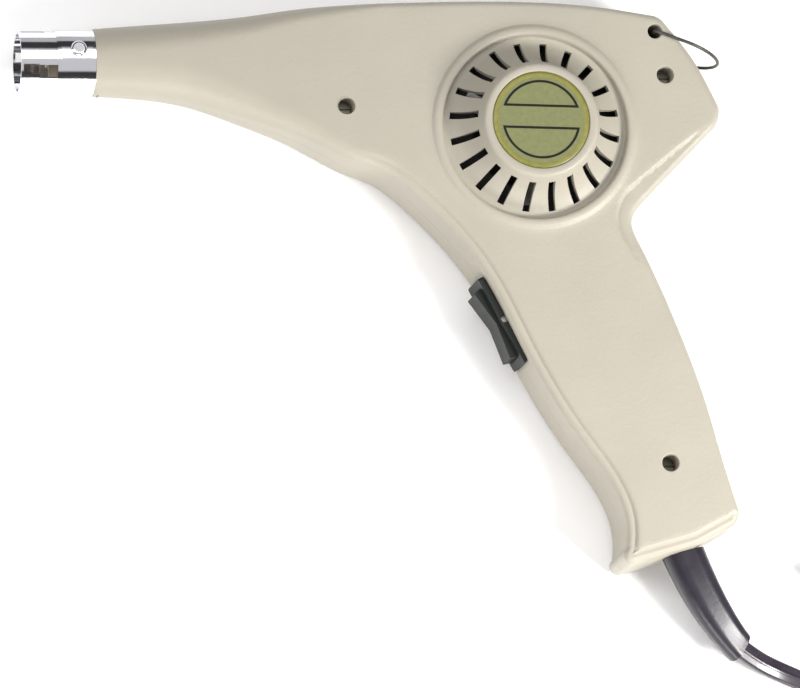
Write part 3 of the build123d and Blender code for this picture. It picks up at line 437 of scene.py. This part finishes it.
def shell(left):
    """Points and faces of the outside of one shell, from the face it shows to the parting plane."""
    flat = [tuple(p) for p in outline]
    loops = [list(range(COUNT))]
    holes = [(BAIL, BAIL_HOLE_R + 0.3)]
    if left:
        holes += [(c, RECESS_R + HOLE_ROUND) for c in SCREWS]
        loops.append(list(range(len(flat), len(flat) + SLOTS * (BETWEEN + 2))))
        flat += dome_ring(DOME_R)
    for centre, radius in holes:
        loops.append(list(range(len(flat), len(flat) + HOLE_SIDES)))
        flat += ring(centre, radius, HOLE_SIDES)
    fixed = len(flat)
    extra = []
    corner = np.interp(outline[:, 0], [s[0] for s in BARREL], [s[2] for s in BARREL])
    for depth in (0.04, 0.16, 0.36, 0.66, 1.05, 1.5, 2.0):
        extra.append(outline + mitre * depth)
    for depth in (3.0, 4.4, 6.2):
        extra.append((outline + mitre * depth)[corner > depth])
    for offset in (-0.25, 0.15, 0.5, 0.9, 1.4):
        rows = (ledges[:, 1] > 0.02) & (ledges[:, 0] + offset > 2.1)
        extra.append((outline + mitre * (ledges[:, 0] + offset)[:, None])[rows])
    extra = np.concatenate(extra)
    extra = extra[inside(extra)]
    grid = np.meshgrid(np.arange(-83.6, 106, GRID_STEP), np.arange(-84, 84, GRID_STEP))
    grid = np.stack(grid, axis=-1).reshape(-1, 2)
    grid = grid[inside(grid)]
    d, index = nearest(grid)
    limit = np.where(ledges[index, 1] > 0.02, np.maximum(ledges[index, 0] + 1.9, 2.6), 2.6)
    grid = grid[d > limit]
    rounds = [np.array(ring(FAN, DOME_R + r, 150)) for r in (0.5, 1.1, 1.9)] if left else []
    for centre, radius in holes:
        rounds += [np.array(ring(centre, radius + r, HOLE_SIDES)) for r in (0.4, 1.1)]
    if not left:
        rounds += [np.array(ring(BAIL, RELIEF_R + r, 90)) for r in (-0.35, -0.1, 0.1, 0.35)]
    rounds = np.concatenate(rounds)
    d, index = nearest(rounds)
    rounds = rounds[inside(rounds) & (d > 2.2)]
    loose = np.concatenate([extra, grid, rounds])
    clear = np.ones(len(loose), bool)
    for centre, radius in holes + ([(FAN, DOME_R)] if left else []):
        clear &= np.hypot(*(loose - centre).T) > radius + 0.12
    flat += [tuple(p) for p in loose[clear]]
    edges = [(loop[k], loop[(k + 1) % len(loop)]) for loop in loops for k in range(len(loop))]
    points, _, triangles, origins, _, _ = delaunay_2d_cdt([Vector(p) for p in flat], edges, [], 0, 1e-5)
    points = np.array([tuple(p) for p in points])
    place = {}
    for new, olds in enumerate(origins):
        for old in olds:
            if old < fixed:
                place[old] = new
    middles = np.array([points[list(t)].mean(axis=0) for t in triangles])
    wanted = inside(middles)
    for centre, radius in holes + ([(FAN, DOME_R)] if left else []):
        wanted &= np.hypot(*(middles - centre).T) > radius * 0.995
    high = rise(points, left)
    sign = 1 if left else -1
    verts = [(p[0], p[1], SEAM_Z + sign * h) for p, h in zip(points, high)]
    faces = [tuple(t) for t, keep in zip(triangles, wanted) if keep]
    loops = [[place[k] for k in loop] for loop in loops]

    def strip(loop, row):
        """Adds a row of points and joins it to the loop; returns the new loop."""
        start = len(verts)
        verts.extend(row)
        size = len(loop)
        faces.extend((loop[k], loop[(k + 1) % size], start + (k + 1) % size, start + k) for k in range(size))
        return list(range(start, start + size))

    for gap, back in ((0.12, 0.0), (0.0, 0.12)):
        row = [(x + m[0] * back, y + m[1] * back, SEAM_Z + sign * gap) for (x, y), m in zip(outline, mitre)]
        loops[0] = strip(loops[0], row)
    others = loops[2:] if left else loops[1:]
    for (centre, radius), loop in zip(holes, others):
        top = float(rise(np.array([centre + np.array([radius, 0])]), left)[0])
        tube = radius - HOLE_ROUND
        for r, z in ((radius - 0.17, top - 0.06), (tube, top - 0.28)):
            loop = strip(loop, [(x, y, SEAM_Z + sign * z) for x, y in ring(centre, r, HOLE_SIDES)])
        if centre is BAIL:
            strip(loop, [(x, y, SEAM_Z) for x, y in ring(centre, tube, HOLE_SIDES)])
            continue
        loop = strip(loop, [(x, y, SCREW_SEAT_Z) for x, y in ring(centre, tube, HOLE_SIDES)])
        strip(loop, [(x, y, SCREW_SEAT_Z) for x, y in ring(centre, SCREW_HOLE_R, HOLE_SIDES)])
    if left:
        add_dome(verts, faces, loops[1], strip)
    return verts, faces


HUB_Z, LABEL_R, SEAT_Z = 36.2, 14.4, 35.4
# Radius and height from the panel to the middle of the label's seat.
DOME = [(30.75, 26.30), (30.35, 26.62), (29.9, 26.92), (29.3, 27.14), (28.6, 27.2), (28.0, 27.08),
        (27.62, 26.75), (27.45, 26.2), (27.32, 25.5), (27.15, 25.05), (26.75, 24.9), (26.2, 24.95)]
DOME_FLARE = [(26.2, 24.95), (SLOT_OUT, 25.05), (24.4, 25.5), (23.3, 26.2), (22.2, 27.1), (21.2, 28.1),
              (20.2, 29.3), (19.3, 30.7), (SLOT_IN, 32.75), (17.6, 34.2), (17.25, 35.1)]
HUB = [(17.0, 35.62), (16.7, 35.95), (16.3, 36.14), (15.8, HUB_Z), (LABEL_R + 0.45, HUB_Z),
       (LABEL_R + 0.2, 36.1), (LABEL_R + 0.1, 35.9), (LABEL_R + 0.1, SEAT_Z), (9.0, SEAT_Z), (3.0, SEAT_Z)]


def add_dome(verts, faces, loop, strip):
    """The dome, row by row from its rim to the middle of the label's seat, open at the slots."""
    columns = SLOTS * (BETWEEN + 2)
    rows = DOME + DOME_FLARE[1:] + HUB
    for r, z in rows:
        slot_row = SLOT_IN - 0.01 <= r < SLOT_OUT - 0.01
        before = len(faces)
        loop = strip(loop, [(x, y, z) for x, y in dome_ring(r)])
        if slot_row:
            made = faces[before:]
            del faces[before:]
            faces.extend(f for k, f in enumerate(made) if k % (BETWEEN + 2) > 1)
    start = len(verts)
    verts.append((FAN[0], FAN[1], SEAT_Z))
    faces.extend((loop[k], loop[(k + 1) % columns], start) for k in range(columns))


def thicken(obj, amount):
    """Gives a one-sided skin a wall behind it."""
    modifier = obj.modifiers.new("wall", "SOLIDIFY")
    modifier.thickness = amount * MM
    modifier.offset = -1
    modifier.use_rim = True
    graph = bpy.context.evaluated_depsgraph_get()
    mesh = bpy.data.meshes.new_from_object(obj.evaluated_get(graph))
    obj.modifiers.clear()
    obj.data = mesh


for side, name in ((True, "left_shell"), (False, "right_shell")):
    verts, faces = shell(side)
    half = piece(name + "_skin", verts, faces, IVORY, "housing", [name], sharp=SHARP)
    up_faces = sum(p.normal.z * p.area for p in half.data.polygons)
    if (up_faces > 0) != side:
        half.data.flip_normals()
    thicken(half, SHELL_WALL)
    shade(half, SHARP)

# ------------------------------------------------------------------ label: a plate with a plain printed frame
LABEL_SIDES = 96


def disc_rows(rows, count):
    """Rings of points about the fan's axis, joined row to row."""
    verts, faces = [], []
    for r, z in rows:
        verts += [(x, y, z) for x, y in ring(FAN, r, count)]
    for row in range(len(rows) - 1):
        faces += [(row * count + k, row * count + (k + 1) % count, (row + 1) * count + (k + 1) % count,
                   (row + 1) * count + k) for k in range(count)]
    return verts, faces


verts, faces = disc_rows([(14.35, 35.42), (14.35, 35.86), (14.25, 35.96), (13.1, 36.0), (13.05, 35.97),
                          (12.9, 35.97)], LABEL_SIDES)
piece("label_border", verts, faces, OLIVE_EDGE, "housing", ["label_disc"], sharp=50)
verts, faces = disc_rows([(12.92, 35.5), (12.92, 35.95), (8.0, 35.97), (3.0, 35.97)], LABEL_SIDES)
start = len(verts)
verts.append((FAN[0], FAN[1], 35.97))
inner = start - LABEL_SIDES
faces += [(inner + k, inner + (k + 1) % LABEL_SIDES, start) for k in range(LABEL_SIDES)]
piece("label_plate", verts, faces, OLIVE, "housing", ["label_disc"], sharp=50)

LABEL_TURN = math.radians(-1.5)
INK_LOW, INK_TOP = 35.98, 36.03  # the printed lines, from just under the plate's face


def printed(name, loop_out, loop_in):
    """A closed printed line between two loops of points, a hair above the plate."""
    size = len(loop_out)
    verts = []
    for z, loop in ((INK_LOW, loop_out), (INK_TOP, loop_out), (INK_TOP, loop_in), (INK_LOW, loop_in)):
        for x, y in loop:
            verts.append((FAN[0] + x * math.cos(LABEL_TURN) - y * math.sin(LABEL_TURN),
                          FAN[1] + x * math.sin(LABEL_TURN) + y * math.cos(LABEL_TURN), z))
    faces = [(row + k, row + (k + 1) % size, row + size + (k + 1) % size, row + size + k)
             for row in range(0, 3 * size, size) for k in range(size)]
    return piece(name, verts, faces, INK, "housing", ["label_disc"], sharp=50)


def segment(radius, chord, upper, count=40):
    """A disc's part beyond a chord, as a loop of points."""
    reach = math.acos(chord / radius)
    angles = [reach - 2 * reach * k / count for k in range(count + 1)]
    points = [(radius * math.sin(a), radius * math.cos(a)) for a in angles]
    flat_side = [(points[-1][0] + (points[0][0] - points[-1][0]) * k / 20, chord) for k in range(1, 20)]
    loop = points + flat_side
    return loop if upper else [(x, -y) for x, y in loop]


printed("label_frame_upper", segment(11.9, 3.9, True), segment(11.2, 4.6, True))
printed("label_frame_lower", segment(11.6, 2.0, False), segment(10.9, 2.7, False))

# ------------------------------------------------------------------ cord
ROUTE = [(103.25, -106.3, 8.5), (108.75, -109.6, 5.4), (115.55, -112.3, 2.4), (124.45, -116.0, 1.45),
         (137.95, -121.3, 1.45), (153.55, -124.2, 1.9)]
END_ROUTE = [(209.55, -68.5, 10.9), (210.15, -59.5, 11.0), (208.75, -50.5, 10.5), (208.75, -41.0, 10.5)]
COIL = (172.95, -87.0)
COIL_START, COIL_TURNS, PER_TURN = -116.0, 8.4, 16
# Turn, radius and height along the coil: three turns side by side, then two more layers on them.
COIL_KNOTS = [(0, 40.7, 1.9), (0.25, 38.2, 2.25), (0.9, 38.2, 2.25), (1.1, 31.9, 2.25), (1.9, 31.9, 2.25),
              (2.1, 25.6, 2.25), (2.9, 25.6, 2.4), (3.1, 25.6, 5.1), (3.9, 25.6, 5.1), (4.1, 31.9, 5.1),
              (4.9, 31.9, 5.1), (5.1, 38.2, 5.1), (5.9, 38.2, 5.3), (6.1, 38.2, 7.95), (6.9, 38.2, 7.95),
              (7.1, 31.9, 7.95), (7.85, 31.9, 8.2), (8.1, 35.5, 10.9), (8.4, 40.6, 10.9)]
ORIGIN = Vector((ORIGIN_X, 0, 0))
control = [Vector(p) + ORIGIN for p in ROUTE]
steps = int(COIL_TURNS * PER_TURN)
for k in range(1, steps):
    at = COIL_TURNS * k / steps
    angle = math.radians(COIL_START + at * 360)
    r, z = (float(np.interp(at, [knot[0] for knot in COIL_KNOTS], [knot[i] for knot in COIL_KNOTS]))
            for i in (1, 2))
    control.append(Vector((COIL[0] + r * math.cos(angle), COIL[1] + r * math.sin(angle), z)) + ORIGIN)
control += [Vector(p) + ORIGIN for p in END_ROUTE]
curve = bpy.data.curves.new("cord_route", "CURVE")
curve.dimensions = "3D"
curve.resolution_u = 6
run = curve.splines.new("NURBS")
run.points.add(len(control) - 1)
for point, place in zip(run.points, control):
    point.co = (*(place * MM), 1)
run.order_u = 3
run.use_endpoint_u = True
route = bpy.data.objects.new("cord_route", curve)
bpy.context.collection.objects.link(route)
sampled = bpy.data.meshes.new_from_object(route)
way = [v.co.copy() for v in sampled.vertices]
bpy.data.meshes.remove(sampled)
bpy.data.objects.remove(route)
bpy.data.curves.remove(curve)

RIB_R, RIB_AT = 1.30, 1.65       # of the two outer cores, mm
GROOVE = 22                     # what a groove takes from an outer core, in degrees


def cord_section():
    """Outline of three parallel cores with shallow grooves between them."""
    points = []
    for centre, low, high in ((RIB_AT, -90, 90), (0, 50, 130), (-RIB_AT, 90, 270), (0, 230, 310)):
        count = 7 if centre else 4
        if centre:
            low, high = low + GROOVE, high - GROOVE
        angles = [low + (high - low) * k / count for k in range(count + 1)]
        angles = [math.radians(a) for a in angles]
        points += [(centre + RIB_R * math.cos(a), RIB_R * math.sin(a)) for a in angles]
    return points


def sweep(way, section):
    """The section carried along the way with its width level; flat ends."""
    verts, faces = [], []
    size = len(section)
    for i, place in enumerate(way):
        ahead = (way[min(i + 1, len(way) - 1)] - way[max(i - 1, 0)]).normalized()
        side = ahead.cross(Vector((0, 0, 1))).normalized()
        over = side.cross(ahead).normalized()
        verts += [tuple(place + side * (u * MM) + over * (v * MM)) for u, v in section]
    for i in range(len(way) - 1):
        start = i * size
        faces += [(start + k, start + (k + 1) % size, start + size + (k + 1) % size, start + size + k)
                  for k in range(size)]
    faces.append(tuple(range(size)))
    faces.append(tuple(range((len(way) - 1) * size, len(way) * size)))
    return verts, faces


verts, faces = sweep(way, cord_section())
cord = piece("mains_cord", verts, faces, CORD_PVC, "housing", ["cord_lead", "cord_coil", "cord_end"],
             sharp=60, placed=True)

# ------------------------------------------------------------------ floor and light
verts = [(-1.5, -1.5, -0.0002), (1.5, -1.5, -0.0002), (1.5, 1.5, -0.0002), (-1.5, 1.5, -0.0002)]
floor_mesh = bpy.data.meshes.new("floor")
floor_mesh.from_pydata(verts, [], [(0, 1, 2, 3)])
floor = bpy.data.objects.new("floor", floor_mesh)
bpy.context.collection.objects.link(floor)
floor_mesh.materials.append(FLOOR)

bpy.context.scene.view_settings.view_transform = "Standard"
world = bpy.data.worlds.new("studio")
bpy.context.scene.world = world
world.use_nodes = True
sky = world.node_tree
direction = sky.nodes.new("ShaderNodeTexCoord")
split = sky.nodes.new("ShaderNodeSeparateXYZ")
bands = sky.nodes.new("ShaderNodeValToRGB")
sky.links.new(direction.outputs["Generated"], split.inputs["Vector"])
sky.links.new(split.outputs["Z"], bands.inputs["Fac"])
sky.links.new(bands.outputs["Color"], sky.nodes["Background"].inputs["Color"])
# Brightness against the height of the direction: a pale horizon, a dark band, and a bright ceiling.
SKY = ((0.0, 0.75), (0.30, 0.70), (0.36, 0.06), (0.70, 0.06), (0.78, 0.90), (1.0, 1.0))
for at, level in SKY:
    stop = bands.color_ramp.elements.new(at)
    stop.color = (level, level, level * 1.02, 1)
while len(bands.color_ramp.elements) > len(SKY):
    bands.color_ramp.elements.remove(bands.color_ramp.elements[-1])
sky.nodes["Background"].inputs["Strength"].default_value = 0.75


def area_light(name, place, aim, size, power, colour=(1, 1, 1)):
    data = bpy.data.lights.new(name, "AREA")
    data.shape = "RECTANGLE"
    data.size, data.size_y = size
    data.energy = power
    data.color = colour
    lamp = bpy.data.objects.new(name, data)
    bpy.context.collection.objects.link(lamp)
    lamp.location = place
    lamp.rotation_euler = (Vector(aim) - Vector(place)).to_track_quat("-Z", "Y").to_euler()
    return lamp


area_light("key", (0.46, -0.30, 0.42), (0.06, -0.04, 0.02), (0.20, 0.20), 7.0, (1.0, 0.99, 0.96))
area_light("top", (-0.10, 0.35, 0.95), (0.0, 0.0, 0.02), (0.8, 0.5), 2.9, (1.0, 0.99, 0.98))
area_light("side", (-0.60, 0.05, 0.50), (-0.06, 0.04, 0.02), (0.3, 0.5), 2.6, (1.0, 0.98, 0.97))
area_light("front", (-0.12, -0.62, 0.16), (0.06, -0.02, 0.013), (0.5, 0.2), 2.6, (1.0, 0.98, 0.97))
